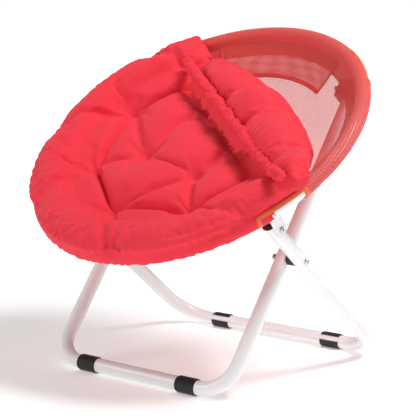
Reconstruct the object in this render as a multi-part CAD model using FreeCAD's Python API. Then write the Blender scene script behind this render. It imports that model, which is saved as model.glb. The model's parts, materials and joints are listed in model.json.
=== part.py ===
import FreeCAD, Part
import math
import os

# Folding saucer chair, in millimetres. X runs across the seat, +Y to the rear, +Z up.
# Two U-shaped leg frames cross at the sides. The round seat ring pivots on the front
# tops of the outer frame and rests with two saddles on the rear tops of the inner one.

V = FreeCAD.Vector

# Steel tube of the legs and the ring
TUBE_R = 12.5
TUBE_WALL = 1.2

# Inner leg frame: its floor bar lies in front and its legs rise to the rear
INNER_HALF_SPREAD = 189.5
INNER_LEAN = 52.2
INNER_BEND_R = 52.0
CROSS_TO_FRONT_BAR = 253.3
CROSS_TO_REST = 331.7
TUBE_PAST_REST = 15.0

# Outer leg frame: its floor bar lies behind and its legs rise to the front
OUTER_BEND_R = 67.0
CROSS_TO_REAR_BAR = 318.2
CROSS_TO_PIVOT = 100.7
TUBE_PAST_PIVOT = 14.0

# Screws, nuts and the nylon pieces between the tubes
SCREW_R = 3.0
SCREW_RUNNING_GAP = 0.05
HEAD_R = 5.6
HEAD_H = 3.4
HEAD_EDGE = 1.2
HEAD_CROWN_R = 3.6
SOCKET_R = 2.0
SOCKET_DEPTH = 1.9
NUT_R = 5.6
NUT_H = 5.5
SPACER_LENGTH = 10.5
SPACER_R = 10.5
WASHER_H = 1.2
WASHER_R = 9.0
FACE_GAP = 0.1

# Tube plugs
PLUG_STEM = 7.0
PLUG_CAP = 2.6
PLUG_FIT = 0.05

# Ribbed feet clipped on the floor bars
FOOT_WALL = 2.0
FOOT_LENGTH = 40.0
FOOT_RIBS = 7
FOOT_GROOVE_DEPTH = 0.9
FOOT_SLOT_ANGLE = 46.0
FOOT_SLOT_AT = 30.0
FOOT_FLAT = 0.5
FOOT_FIT = 0.05
FRONT_FOOT_X = 111.0
REAR_FOOT_X = 129.0

# Seat ring and the brackets welded below it
RING_R = 300.0
BRACKET_DROP = 56.4
PIVOT_AHEAD = 144.1
BRACKET_PLATE = 3.0
EAR_HALF_WIDTH = 13.6
EAR_RISE = 24.0
WEB_SPREAD = 27.4

# Saddles that carry the ring on the inner frame
SADDLE_GAP = 0.3
SADDLE_WALL = 3.7
SADDLE_LENGTH = 34.0
SADDLE_TOP = 26.5
SADDLE_SCREW_UP = 18.8

# Mesh sling, its sleeve round the ring and the bound cut-outs at the brackets
SLEEVE_GAP = 0.3
SLEEVE_WALL = 1.0
SLING_WALL = 1.4
SLING_DEPTH = 99.0
SLING_RIM_DROP = 4.0
CUTOUT_MARGIN = 9.0
CUTOUT_TOP = 5.0
CUTOUT_INSIDE = 10.5
BINDING_WIDTH = 7.0
BINDING_WALL = 0.9
BINDING_GAP = 0.2

# Second mesh layer at the rear of the sling
POCKET_FROM = -24.0
POCKET_TO = 36.0
POCKET_WIDTH = 62.0
POCKET_WALL = 1.0

# Cushion over the front and left of the ring, its rear right part folded inwards
CUSHION_TURN = -41.0
CUSHION_REACH = 22.0
CUSHION_LIP_BOTTOM = -13.5
CUSHION_THICK = 28.0
CUSHION_RIM_RISE = 28.0
PUFF_CROWN = 9.0
TUFT_DEPTH = 13.0
TUFT_SPREAD = 24.0
MIDDLE_TUFTS = (8, 205.0, 163.0)
INNER_TUFTS = (4, 103.0, 208.0)
RIM_PUCKERS = (8, 318.0, 185.5)
PAD_FRONT_ROUND = 7.0
PAD_FOLD_ROUND = 8.0
PAD_SIDE_ROUND = 11.0
PAD_ROWS = 22
PAD_TOP_POINTS = 24
PAD_FLOOR_POINTS = 8
PAD_SINK = 4.0
SOFT_GAP = 0.4
FOLD_PEAK_Q = 150.0
FOLD_PEAK_P = 60.0
FOLD_BOW = 50.0
FOLD_HALF_SPAN = 290.0
FOLD_HEIGHT = 44.0
FOLD_SHOULDER = 14.0
FOLD_OVERRUN = -12.0
FOLD_PUFFS = 5
RUFFLE_Q = 64.0
RUFFLE_SLOPE = 0.06
RUFFLE_AHEAD = 3.0
RUFFLE_UP = 26.0
RUFFLE_R = 7.2
RUFFLE_PLEAT = 1.3
RUFFLE_PLEATS = 30
RUFFLE_SIDES = 6

# Flats that stand for round sections, so that the long forms stay light
TUBE_FLATS = 12
BOWL_FLATS = 5
FOOT_FLATS = 24

# Worked out from the sizes above
TUBE_D = 2.0 * TUBE_R
TUBE_INNER_R = TUBE_R - TUBE_WALL
HOLE_R = SCREW_R + SCREW_RUNNING_GAP
OUTER_HALF_SPREAD = INNER_HALF_SPREAD + TUBE_D + SPACER_LENGTH
FOOT_R = TUBE_R + FOOT_WALL
BAR_Z = FOOT_R - FOOT_FLAT
CROSS_Z = BAR_Z + CROSS_TO_FRONT_BAR * math.sin(math.radians(INNER_LEAN))
OUTER_LEAN = math.degrees(math.asin((CROSS_Z - BAR_Z) / CROSS_TO_REAR_BAR))
CROSS = V(0, 0, CROSS_Z)
INNER_UP = V(0, math.cos(math.radians(INNER_LEAN)), math.sin(math.radians(INNER_LEAN)))
OUTER_UP = V(0, -math.cos(math.radians(OUTER_LEAN)), math.sin(math.radians(OUTER_LEAN)))
PIVOT = CROSS + OUTER_UP * CROSS_TO_PIVOT
REST = CROSS + INNER_UP * CROSS_TO_REST
RING_TILT = math.degrees(math.atan2(REST.z - PIVOT.z, REST.y - PIVOT.y))
REST_BEHIND = (REST - PIVOT).Length - PIVOT_AHEAD
RING_ALONG = V(0, math.cos(math.radians(RING_TILT)), math.sin(math.radians(RING_TILT)))
RING_UP = V(0, -math.sin(math.radians(RING_TILT)), math.cos(math.radians(RING_TILT)))
RING_CENTRE = PIVOT + RING_ALONG * PIVOT_AHEAD + RING_UP * BRACKET_DROP
FRONT_EAR_X = OUTER_HALF_SPREAD + TUBE_R + WASHER_H + FACE_GAP
REAR_EAR_X = INNER_HALF_SPREAD + TUBE_R + SADDLE_GAP + SADDLE_WALL
SLEEVE_INNER_R = TUBE_R + SLEEVE_GAP
SLEEVE_R = SLEEVE_INNER_R + SLEEVE_WALL
SLING_RIM_R = RING_R - SLEEVE_INNER_R - 0.4 * SLEEVE_WALL
BOWL_FLAT = SLING_RIM_R / BOWL_FLATS
SLING_SAG = SLING_DEPTH - SLING_RIM_DROP
SLING_BALL_R = (SLING_RIM_R ** 2 + SLING_SAG ** 2) / (2.0 * SLING_SAG)


def at_frame(shape, bar_point, lean):
    """Turns a shape drawn with its legs along +Y so that they rise at the angle lean."""
    placed = shape.copy()
    placed.rotate(V(0, 0, 0), V(1, 0, 0), lean)
    placed.translate(bar_point)
    return placed


def at_ring(shape):
    """Takes a shape from the ring's own plane, with Z along its axis, to its tilted place."""
    placed = shape.copy()
    placed.rotate(V(0, 0, 0), V(1, 0, 0), RING_TILT)
    placed.translate(RING_CENTRE)
    return placed


def ring_point(x, along, up):
    """A point given in the ring's plane, in the chair's frame."""
    return RING_CENTRE + V(x, 0, 0) + RING_ALONG * along + RING_UP * up


def mirrored(shape):
    return shape.mirror(V(0, 0, 0), V(1, 0, 0))


def x_cylinder(radius, x_from, x_to, centre):
    """A round bar along X between two places, on the axis through centre."""
    start = V(min(x_from, x_to), centre.y, centre.z)
    return Part.makeCylinder(radius, abs(x_to - x_from), start, V(1, 0, 0))


def u_path(half_spread, bend_r, reach):
    """Centre line of a U: floor bar on the X axis, both legs along +Y."""
    c = bend_r * (1.0 - math.cos(math.radians(45)))
    left_top = V(-half_spread, reach, 0)
    left_low = V(-half_spread, bend_r, 0)
    left_mid = V(-half_spread + c, c, 0)
    left_bar = V(-half_spread + bend_r, 0, 0)
    right_bar = V(half_spread - bend_r, 0, 0)
    right_mid = V(half_spread - c, c, 0)
    right_low = V(half_spread, bend_r, 0)
    right_top = V(half_spread, reach, 0)
    edges = [
        Part.LineSegment(left_top, left_low).toShape(),
        Part.Arc(left_low, left_mid, left_bar).toShape(),
        Part.LineSegment(left_bar, right_bar).toShape(),
        Part.Arc(right_bar, right_mid, right_low).toShape(),
        Part.LineSegment(right_low, right_top).toShape(),
    ]
    return Part.Wire(edges)


def u_tube(half_spread, bend_r, reach):
    """Bent steel tube, open at both tops."""
    path = u_path(half_spread, bend_r, reach)
    skins = []
    for radius in (TUBE_R, TUBE_INNER_R):
        ring = Part.Wire(Part.makeCircle(radius, V(-half_spread, reach, 0), V(0, -1, 0)))
        skins.append(path.makePipeShell([ring], True, False))
    return skins[0].cut(skins[1])


def leg_frame(half_spread, bend_r, bar_to_top, bar_point, lean, hole_points):
    frame = at_frame(u_tube(half_spread, bend_r, bar_to_top), bar_point, lean)
    reach_x = half_spread + TUBE_D
    for point in hole_points:
        frame = frame.cut(x_cylinder(HOLE_R, -reach_x, reach_x, point))
    return frame


def tube_plug(half_spread, top_point, up):
    """Moulded plug: a stem in the tube's bore and a bevelled cap on its end."""
    edge = Part.makeCylinder(TUBE_R, 0.5 * PLUG_CAP)
    cap = edge.fuse(Part.makeCone(TUBE_R, TUBE_R - PLUG_CAP, 0.5 * PLUG_CAP, V(0, 0, 0.5 * PLUG_CAP)))
    stem = Part.makeCylinder(TUBE_INNER_R - PLUG_FIT, PLUG_STEM, V(0, 0, -PLUG_STEM))
    plug = cap.fuse(stem)
    plug.Placement = FreeCAD.Placement(top_point + V(half_spread, 0, 0), FreeCAD.Rotation(V(0, 0, 1), up))
    return plug


def foot_section(radius, x, centre):
    """Many-sided outline round the floor bar."""
    corners = []
    for index in range(FOOT_FLATS):
        turn = 2.0 * math.pi * index / FOOT_FLATS
        corners.append(V(x, centre.y + radius * math.cos(turn), centre.z + radius * math.sin(turn)))
    return Part.makePolygon(corners + corners[:1])


def foot(centre_x, bar_point, slot_side):
    """Ribbed sleeve with a slot, so that it clips over the floor bar from inside."""
    inner_r = TUBE_R + FOOT_FIT
    groove_r = FOOT_R - FOOT_GROOVE_DEPTH
    step = FOOT_LENGTH / (2 * FOOT_RIBS)
    low = centre_x - FOOT_LENGTH / 2.0
    sections = []
    for index in range(2 * FOOT_RIBS + 1):
        radius = FOOT_R if index % 2 else groove_r
        sections.append(foot_section(radius, low + step * index, bar_point))
    body = Part.makeLoft(sections, True, True)
    body = body.cut(x_cylinder(inner_r, low - 1.0, low + FOOT_LENGTH + 1.0, bar_point))
    half = math.radians(FOOT_SLOT_ANGLE / 2.0)
    at = math.radians(FOOT_SLOT_AT)
    reach = 2.0 * FOOT_R
    corners = [V(low - 1.0, bar_point.y, bar_point.z)]
    for turn in (at - half, at + half):
        corners.append(V(low - 1.0, bar_point.y + slot_side * reach * math.cos(turn),
                         bar_point.z + reach * math.sin(turn)))
    corners.append(corners[0])
    wedge = Part.Face(Part.makePolygon(corners)).extrude(V(FOOT_LENGTH + 2.0, 0, 0))
    body = body.cut(wedge)
    floor_block = Part.makeBox(FOOT_LENGTH + 2.0, 2 * FOOT_R, FOOT_R,
                               V(low - 1.0, bar_point.y - FOOT_R, -FOOT_R))
    return body.cut(floor_block)


def hex_nut(x_from, x_to, centre):
    """Plain hexagon nut."""
    corners = []
    for index in range(7):
        turn = math.radians(60 * index)
        corners.append(V(x_from, centre.y + NUT_R * math.cos(turn), centre.z + NUT_R * math.sin(turn)))
    prism = Part.Face(Part.makePolygon(corners)).extrude(V(x_to - x_from, 0, 0))
    return prism.cut(x_cylinder(SCREW_R, x_from, x_to, centre))


def screw(head_face_x, tip_x, centre):
    """Button-head screw along X. Its head sits outside head_face_x."""
    side = 1.0 if head_face_x > tip_x else -1.0
    crown = V(head_face_x + side * HEAD_EDGE, centre.y, centre.z)
    head = x_cylinder(HEAD_R, head_face_x, crown.x, centre)
    head = head.fuse(Part.makeCone(HEAD_R, HEAD_CROWN_R, HEAD_H - HEAD_EDGE, crown, V(side, 0, 0)))
    socket = x_cylinder(SOCKET_R, head_face_x + side * (HEAD_H - SOCKET_DEPTH),
                        head_face_x + side * (HEAD_H + 1.0), centre)
    shank = x_cylinder(SCREW_R, head_face_x, tip_x, centre)
    return head.cut(socket).fuse(shank).removeSplitter()


def crossing_spacer():
    """Nylon distance piece at the crossing, hollowed on one side to sit on the outer tube."""
    from_x = INNER_HALF_SPREAD + TUBE_R + FACE_GAP
    to_x = OUTER_HALF_SPREAD
    body = x_cylinder(SPACER_R, from_x, to_x, CROSS)
    body = body.cut(x_cylinder(HOLE_R, from_x - 1.0, to_x + 1.0, CROSS))
    start = CROSS + V(OUTER_HALF_SPREAD, 0, 0) - OUTER_UP * CROSS_TO_PIVOT
    return body.cut(Part.makeCylinder(TUBE_R, 2.0 * CROSS_TO_PIVOT, start, OUTER_UP))


def pivot_washer():
    """Nylon washer between the outer leg and the ear, hollowed to sit on the tube."""
    from_x = OUTER_HALF_SPREAD
    to_x = OUTER_HALF_SPREAD + TUBE_R + WASHER_H
    body = x_cylinder(WASHER_R, from_x, to_x, PIVOT)
    body = body.cut(x_cylinder(HOLE_R, from_x - 1.0, to_x + 1.0, PIVOT))
    start = PIVOT + V(OUTER_HALF_SPREAD, 0, 0) - OUTER_UP * 3.0 * TUBE_R
    return body.cut(Part.makeCylinder(TUBE_R, 6.0 * TUBE_R, start, OUTER_UP))


def tube_spot(radius, turn):
    """A point round the ring's tube, in the half-plane towards the rear. Turn 0 is outside."""
    angle = math.radians(turn)
    return V(0, RING_R + radius * math.cos(angle), radius * math.sin(angle))


def ring_tube(radius):
    """Round bar bent to the seat ring, drawn with flats."""
    corners = [tube_spot(radius, 360.0 * index / TUBE_FLATS) for index in range(TUBE_FLATS)]
    return Part.Face(Part.makePolygon(corners + corners[:1])).revolve(V(0, 0, 0), V(0, 0, 1), 360)


def bracket(ear_x, along, hole_up, hole_along):
    """Pressed plate: a flat ear with a round end below, and a web flared out to the ring.

    Drawn in the ring's plane. The hole is given from the ear's centre.
    """
    outer_x = ear_x + BRACKET_PLATE
    centre = V(0, along, -BRACKET_DROP)
    ear_top = -BRACKET_DROP + EAR_RISE
    ear = Part.makeBox(BRACKET_PLATE, 2 * EAR_HALF_WIDTH, EAR_RISE,
                       V(ear_x, along - EAR_HALF_WIDTH, -BRACKET_DROP))
    ear = ear.fuse(x_cylinder(EAR_HALF_WIDTH, ear_x, outer_x, centre))
    low = [V(ear_x, along - EAR_HALF_WIDTH, ear_top), V(outer_x, along - EAR_HALF_WIDTH, ear_top),
           V(outer_x, along + EAR_HALF_WIDTH, ear_top), V(ear_x, along + EAR_HALF_WIDTH, ear_top)]
    high = []
    weld_up = -0.5 * TUBE_R
    for side in (-1, 1):
        at = along + side * WEB_SPREAD
        across = math.sqrt(RING_R ** 2 - at ** 2)
        out = V(across, at, 0).normalize() * (BRACKET_PLATE / 2.0)
        foot_in = V(across, at, weld_up) - out
        foot_out = V(across, at, weld_up) + out
        high += [foot_in, foot_out] if side < 0 else [foot_out, foot_in]
    web = Part.makeLoft([Part.makePolygon(low + low[:1]), Part.makePolygon(high + high[:1])], True, True)
    plate = ear.fuse(web).removeSplitter()
    plate = plate.cut(ring_tube(TUBE_R))
    hole = x_cylinder(HOLE_R, ear_x - 1.0, outer_x + 1.0, centre + V(0, hole_along, hole_up))
    return plate.cut(hole)


def saddle():
    """Moulded half-round saddle that drops over the inner frame's tube from above."""
    low_x = INNER_HALF_SPREAD - TUBE_R - SADDLE_GAP - SADDLE_WALL
    block = Part.makeBox(REAR_EAR_X - low_x, SADDLE_LENGTH, SADDLE_TOP, V(low_x, -SADDLE_LENGTH / 2.0, 0))
    channel = Part.makeCylinder(TUBE_R + SADDLE_GAP, SADDLE_LENGTH + 2.0,
                                V(INNER_HALF_SPREAD, -SADDLE_LENGTH / 2.0 - 1.0, 0), V(0, 1, 0))
    block = block.cut(channel)
    edges = [e for e in block.Edges if e.BoundBox.YLength > 0.9 * SADDLE_LENGTH and e.BoundBox.ZMin > 1.0
             and e.BoundBox.ZMax > SADDLE_TOP - 0.1]
    block = block.makeFillet(SADDLE_WALL, edges)
    screw_at = V(0, 0, SADDLE_SCREW_UP)
    block = block.cut(x_cylinder(SCREW_R, low_x - 1.0, REAR_EAR_X + 1.0, screw_at))
    return at_frame(block, REST, INNER_LEAN)


def sector(r_from, r_to, up_from, up_to, turn_from, turn_to):
    """A piece of a flat ring, turned from the rear (0 degrees) towards +X."""
    profile = Part.makePolygon([V(0, r_from, up_from), V(0, r_to, up_from), V(0, r_to, up_to),
                                V(0, r_from, up_to), V(0, r_from, up_from)])
    piece = Part.Face(profile).revolve(V(0, 0, 0), V(0, 0, 1), -(turn_to - turn_from))
    piece.rotate(V(0, 0, 0), V(0, 0, 1), -turn_from)
    return piece


def bracket_turns(along):
    """The angles, from the rear, between which a bracket meets the ring."""
    return sorted(math.degrees(math.acos((along + side * WEB_SPREAD) / RING_R)) for side in (-1, 1))


def cutout(along, grow):
    """Room in the sleeve for a bracket, wider by grow all round."""
    first, last = bracket_turns(along)
    spare = math.degrees((CUTOUT_MARGIN + grow) / RING_R)
    return sector(RING_R - CUTOUT_INSIDE - grow, RING_R + 2 * SLEEVE_R, -2 * SLEEVE_R,
                  CUTOUT_TOP + grow, first - spare, last + spare)


def sling_up(radius, offset):
    """Height of the sling's bowl at a radius, in the ring's plane: flats laid on a ball."""
    ball = SLING_BALL_R - offset
    index = min(int(radius / BOWL_FLAT), BOWL_FLATS - 1)
    inner, outer = (math.sqrt(ball ** 2 - (BOWL_FLAT * (index + k)) ** 2) for k in (0, 1))
    return -SLING_DEPTH + SLING_BALL_R - inner - (outer - inner) * (radius / BOWL_FLAT - index)


def bowl_line(r_from, r_to, offset):
    """The sling's section between two radii, with a corner where its flats meet."""
    corners = [BOWL_FLAT * index for index in range(BOWL_FLATS) if r_from < BOWL_FLAT * index < r_to]
    return [V(0, radius, sling_up(radius, offset)) for radius in [r_from] + corners + [r_to]]


def bowl_band(r_from, r_to, below, above):
    """Closed profile of a layer between two offsets from the sling's underside."""
    outline = bowl_line(r_from, r_to, below) + bowl_line(r_from, r_to, above)[::-1]
    return Part.makePolygon(outline + outline[:1])


def mesh_sling():
    """Mesh disc hung in the ring, its edge sewn into a sleeve round the tube."""
    band = bowl_band(0.0, RING_R - TUBE_R, 0.0, SLING_WALL)
    bowl = Part.Face(band).revolve(V(0, 0, 0), V(0, 0, 1), 360)
    sling = bowl.fuse(ring_tube(SLEEVE_R)).cut(ring_tube(SLEEVE_INNER_R))
    for along in (-PIVOT_AHEAD, REST_BEHIND):
        opening = cutout(along, 0.0)
        sling = sling.cut(opening).cut(mirrored(opening))
    return sling.removeSplitter()


def binding(along):
    """Tape sewn round the edge of one cut-out in the sleeve."""
    inner_r = SLEEVE_R + BINDING_GAP
    tape = ring_tube(inner_r + BINDING_WALL).cut(ring_tube(inner_r))
    frame = cutout(along, BINDING_WIDTH).cut(cutout(along, 0.0))
    bowl_side = sector(RING_R - 2 * SLEEVE_R, RING_R, -1.5 * SLING_RIM_DROP, 2 * SLEEVE_R, 0, 180)
    return tape.common(frame).cut(bowl_side)


def rear_pocket():
    """Second layer of mesh sewn on the sling at the rear."""
    outer = SLING_RIM_R - SLEEVE_WALL
    below = SLING_WALL + 0.1
    band = bowl_band(outer - POCKET_WIDTH, outer, below, below + POCKET_WALL)
    layer = Part.Face(band).revolve(V(0, 0, 0), V(0, 0, 1), -(POCKET_TO - POCKET_FROM))
    layer.rotate(V(0, 0, 0), V(0, 0, 1), -POCKET_FROM)
    return layer


def fold_q(p):
    """How far out the fold lies at a place along it."""
    return FOLD_PEAK_Q - FOLD_BOW * ((p - FOLD_PEAK_P) / FOLD_HALF_SPAN) ** 2


def pad_limits(q):
    """Both ends of the pad along a line at q: the ring's reach or the fold, whichever is nearer."""
    reach = RING_R + CUSHION_REACH
    half = math.sqrt(max(reach ** 2 - q ** 2, 1.0))
    low, high = -half, half
    if q > FOLD_PEAK_Q - FOLD_BOW:
        bow = FOLD_HALF_SPAN * math.sqrt(max(FOLD_PEAK_Q - q, 0.0) / FOLD_BOW)
        low = max(low, FOLD_PEAK_P - bow)
        high = min(high, FOLD_PEAK_P + bow)
    return low, high


def pad_top(p, q):
    """Height of the pad's mean upper surface: over the ring at the rim, sagging inside."""
    base = -SLING_DEPTH + SLING_WALL + CUSHION_THICK
    return base + (CUSHION_RIM_RISE - base) * (p * p + q * q) / RING_R ** 2


def pad_floor(p, q):
    """Depth that the pad is drawn to before the sling's form is taken out of it."""
    radius = math.hypot(p, q)
    if radius > SLING_RIM_R:
        return CUSHION_LIP_BOTTOM
    return min(CUSHION_LIP_BOTTOM, sling_up(radius, 0.0) - PAD_SINK)


def tuft_spots():
    """Places of the tufts, and of the puckers at the rim, in the cushion's own p and q."""
    spots = []
    for count, radius, first in (MIDDLE_TUFTS, INNER_TUFTS, RIM_PUCKERS):
        for index in range(count):
            turn = math.radians(first - CUSHION_TURN + 360.0 * index / count)
            spots.append((radius * math.cos(turn), radius * math.sin(turn)))
    return spots


def puff(p, q):
    """How far the pad's top swells over its mean surface, or is drawn in at a tuft."""
    nearest = min(math.hypot(p - tuft_p, q - tuft_q) for tuft_p, tuft_q in tuft_spots())
    return PUFF_CROWN - (PUFF_CROWN + TUFT_DEPTH) * math.exp(-(nearest / TUFT_SPREAD) ** 2)


def pad_section(q, lift):
    """Closed outline across the pad at q. The first and last rows have a low lift."""
    low, high = pad_limits(q)
    edge = min(PAD_SIDE_ROUND, 0.2 * (high - low))
    corners = []
    for index in range(PAD_TOP_POINTS + 1):
        p = low + edge + (high - low - 2.0 * edge) * index / PAD_TOP_POINTS
        ground = pad_floor(p, q)
        corners.append(V(p, q, ground + (pad_top(p, q) + puff(p, q) - ground) * lift))
    side_high = 0.5 * (corners[-1].z + pad_floor(high, q))
    side_low = 0.5 * (corners[0].z + pad_floor(low, q))
    corners.append(V(high, q, side_high))
    for index in range(PAD_FLOOR_POINTS + 1):
        p = high - 0.35 * edge - (high - low - 0.7 * edge) * index / PAD_FLOOR_POINTS
        corners.append(V(p, q, pad_floor(p, q)))
    corners.append(V(low, q, side_low))
    return Part.makePolygon(corners + corners[:1])


def cushion_pad():
    """Tufted pad: puffs over the sling, its rim drawn over the ring."""
    front = -(RING_R + CUSHION_REACH) + PAD_FRONT_ROUND
    sections = [pad_section(front, 0.6)]
    first = front + PAD_FRONT_ROUND
    last = FOLD_PEAK_Q - PAD_FOLD_ROUND
    for index in range(PAD_ROWS + 1):
        sections.append(pad_section(first + (last - first) * index / PAD_ROWS, 1.0))
    return Part.makeLoft(sections, True, True)


def ruffle_q(p):
    """Where the folded part's free edge lies, at a place along the fold."""
    return RUFFLE_Q + RUFFLE_SLOPE * p


def fold_section(p, swell):
    """Outline of the folded part at p: from its free edge up over the fold and down outside."""
    inner_q = ruffle_q(p)
    outer_q = fold_q(p)
    inner_n = pad_top(p, inner_q)
    outer_n = pad_top(p, outer_q)
    mid_q = 0.45 * inner_q + 0.55 * outer_q
    mid_n = pad_top(p, mid_q)
    rise = FOLD_HEIGHT * swell
    corners = [
        V(p, inner_q, inner_n - 6.0),
        V(p, inner_q - 1.5, inner_n + 0.3 * rise),
        V(p, inner_q + 5.0, inner_n + 0.6 * rise),
        V(p, mid_q - FOLD_SHOULDER, mid_n + 0.95 * rise),
        V(p, mid_q + FOLD_SHOULDER, mid_n + rise),
        V(p, outer_q - 4.0, outer_n + 0.75 * rise),
        V(p, outer_q + 10.0, outer_n + 0.3 * rise),
        V(p, outer_q - 2.0, outer_n - 14.0),
        V(p, mid_q, mid_n - 14.0),
    ]
    return Part.makePolygon(corners + corners[:1])


def cushion_fold():
    """The part of the cushion that is turned inwards, puffed along the fold."""
    low = FOLD_PEAK_P - FOLD_HALF_SPAN - FOLD_OVERRUN
    high = FOLD_PEAK_P + FOLD_HALF_SPAN * 0.82
    count = 4 * FOLD_PUFFS
    sections = []
    for index in range(count + 1):
        p = low + (high - low) * index / count
        ends = min(1.0, 0.45 + 0.55 * min(index, count - index) / 2.0)
        puff = 0.88 + 0.12 * math.cos(2.0 * math.pi * (index - 2) / 4.0)
        sections.append(fold_section(p, ends * puff))
    return Part.makeLoft(sections, True, True)


def elastic_ruffle():
    """Casing gathered on elastic along the cushion's free edge, in even pleats."""
    low = FOLD_PEAK_P - FOLD_HALF_SPAN
    high = FOLD_PEAK_P + FOLD_HALF_SPAN * 0.8
    sections = []
    for index in range(2 * RUFFLE_PLEATS + 1):
        p = low + (high - low) * index / (2 * RUFFLE_PLEATS)
        radius = RUFFLE_R + RUFFLE_PLEAT * (1.0 if index % 2 else -1.0)
        q = ruffle_q(p) - RUFFLE_AHEAD
        up = pad_top(p, q) + RUFFLE_UP
        corners = []
        for side in range(RUFFLE_SIDES):
            turn = 2.0 * math.pi * side / RUFFLE_SIDES
            corners.append(V(p, q + radius * math.cos(turn), up + radius * math.sin(turn)))
        sections.append(Part.makePolygon(corners + corners[:1]))
    return Part.makeLoft(sections, True, True)


def below_cushion(gap):
    """Everything that the pad may not enter: ring, sleeve, sling and the space below them."""
    around = SLEEVE_R + BINDING_GAP + BINDING_WALL + gap
    rim_r = RING_R - around
    offset = SLING_WALL + POCKET_WALL + gap
    ground = -3.0 * SLING_DEPTH
    far = RING_R + 2.0 * CUSHION_REACH
    outline = [V(0, 0, ground)] + bowl_line(0.0, rim_r, offset)
    outline += [tube_spot(around, 180.0 - 360.0 * index / TUBE_FLATS) for index in range(TUBE_FLATS // 2 + 1)]
    outline += [V(0, RING_R + around, CUSHION_LIP_BOTTOM), V(0, far, CUSHION_LIP_BOTTOM), V(0, far, ground)]
    profile = Part.makePolygon(outline + outline[:1])
    return Part.Face(profile).revolve(V(0, 0, 0), V(0, 0, 1), 360)


def at_cushion(shape):
    placed = shape.copy()
    placed.rotate(V(0, 0, 0), V(0, 0, 1), CUSHION_TURN)
    return placed


def main_shapes():
    shapes = {}
    front_bar = CROSS - INNER_UP * CROSS_TO_FRONT_BAR
    rear_bar = CROSS - OUTER_UP * CROSS_TO_REAR_BAR
    inner_length = CROSS_TO_FRONT_BAR + CROSS_TO_REST + TUBE_PAST_REST
    outer_length = CROSS_TO_REAR_BAR + CROSS_TO_PIVOT + TUBE_PAST_PIVOT
    shapes["inner_leg_frame"] = leg_frame(INNER_HALF_SPREAD, INNER_BEND_R, inner_length, front_bar,
                                          INNER_LEAN, [CROSS])
    shapes["outer_leg_frame"] = leg_frame(OUTER_HALF_SPREAD, OUTER_BEND_R, outer_length, rear_bar,
                                          180.0 - OUTER_LEAN, [CROSS, PIVOT])
    shapes["seat_ring"] = at_ring(ring_tube(TUBE_R).cut(ring_tube(TUBE_INNER_R)))
    inner_top = front_bar + INNER_UP * inner_length
    outer_top = rear_bar + OUTER_UP * outer_length
    hole_turn = math.radians(INNER_LEAN - RING_TILT)
    rest_hole_along = -SADDLE_SCREW_UP * math.sin(hole_turn)
    rest_hole_up = SADDLE_SCREW_UP * math.cos(hole_turn)
    saddle_screw = ring_point(0, REST_BEHIND + rest_hole_along, -BRACKET_DROP + rest_hole_up)
    right = {}
    right["inner_tube_plug"] = tube_plug(INNER_HALF_SPREAD, inner_top, INNER_UP)
    right["outer_tube_plug"] = tube_plug(OUTER_HALF_SPREAD, outer_top, OUTER_UP)
    right["front_foot"] = foot(FRONT_FOOT_X, front_bar, 1.0)
    right["rear_foot"] = foot(REAR_FOOT_X, rear_bar, -1.0)
    right["crossing_spacer"] = crossing_spacer()
    crossing_nut_x = INNER_HALF_SPREAD - TUBE_R - SADDLE_GAP
    right["crossing_nut"] = hex_nut(crossing_nut_x, crossing_nut_x - NUT_H, CROSS)
    right["crossing_screw"] = screw(OUTER_HALF_SPREAD + TUBE_R, crossing_nut_x - NUT_H, CROSS)
    right["pivot_washer"] = pivot_washer()
    pivot_nut_x = OUTER_HALF_SPREAD - TUBE_R
    right["pivot_nut"] = hex_nut(pivot_nut_x, pivot_nut_x - NUT_H, PIVOT)
    right["pivot_screw"] = screw(FRONT_EAR_X + BRACKET_PLATE + FACE_GAP, pivot_nut_x - NUT_H, PIVOT)
    right["front_bracket"] = at_ring(bracket(FRONT_EAR_X, -PIVOT_AHEAD, 0.0, 0.0))
    right["rear_bracket"] = at_ring(bracket(REAR_EAR_X, REST_BEHIND, rest_hole_up, rest_hole_along))
    right["rear_saddle"] = saddle()
    saddle_in_x = INNER_HALF_SPREAD - TUBE_R - SADDLE_GAP - SADDLE_WALL
    right["saddle_screw"] = screw(REAR_EAR_X + BRACKET_PLATE, saddle_in_x - NUT_H, saddle_screw)
    right["saddle_nut"] = hex_nut(saddle_in_x, saddle_in_x - NUT_H, saddle_screw)
    right["front_binding"] = at_ring(binding(-PIVOT_AHEAD))
    right["rear_binding"] = at_ring(binding(REST_BEHIND))
    for name, shape in right.items():
        shapes[name + "_right"] = shape
        shapes[name + "_left"] = mirrored(shape)
    shapes["mesh_sling"] = at_ring(mesh_sling())
    shapes["rear_pocket"] = at_ring(rear_pocket())
    cushion = cushion_pad().fuse(cushion_fold())
    cushion = at_cushion(cushion).cut(below_cushion(SOFT_GAP))
    shapes["cushion"] = at_ring(cushion)
    shapes["elastic_ruffle"] = at_ring(at_cushion(elastic_ruffle())).cut(shapes["cushion"])
    return shapes


def centred(shapes):
    """Moves everything in Y, so that the origin lies under the middle of the whole chair."""
    boxes = [shape.optimalBoundingBox(False, False) for shape in shapes.values()]
    middle = 0.5 * (min(box.YMin for box in boxes) + max(box.YMax for box in boxes))
    return {name: shape.translated(V(0, -middle, 0)) for name, shape in shapes.items()}, middle


def check_solids(shapes, middle):
    for name, shape in shapes.items():
        print(name, "valid", shape.isValid(), "solids", len(shape.Solids), "volume", round(shape.Volume))
    print("crossing", CROSS - V(0, middle, 0), "pivot", PIVOT - V(0, middle, 0))
    print("ring centre", RING_CENTRE - V(0, middle, 0), "ring tilt", RING_TILT)


os.makedirs("parts", exist_ok=True)
chair, chair_middle = centred(main_shapes())
for node, solid in chair.items():
    solid.exportStep(os.path.join("parts", node + ".step"))
check_solids(chair, chair_middle)
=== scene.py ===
import json
import math

import bmesh
import bpy
import numpy as np
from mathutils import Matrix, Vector, noise


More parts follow.
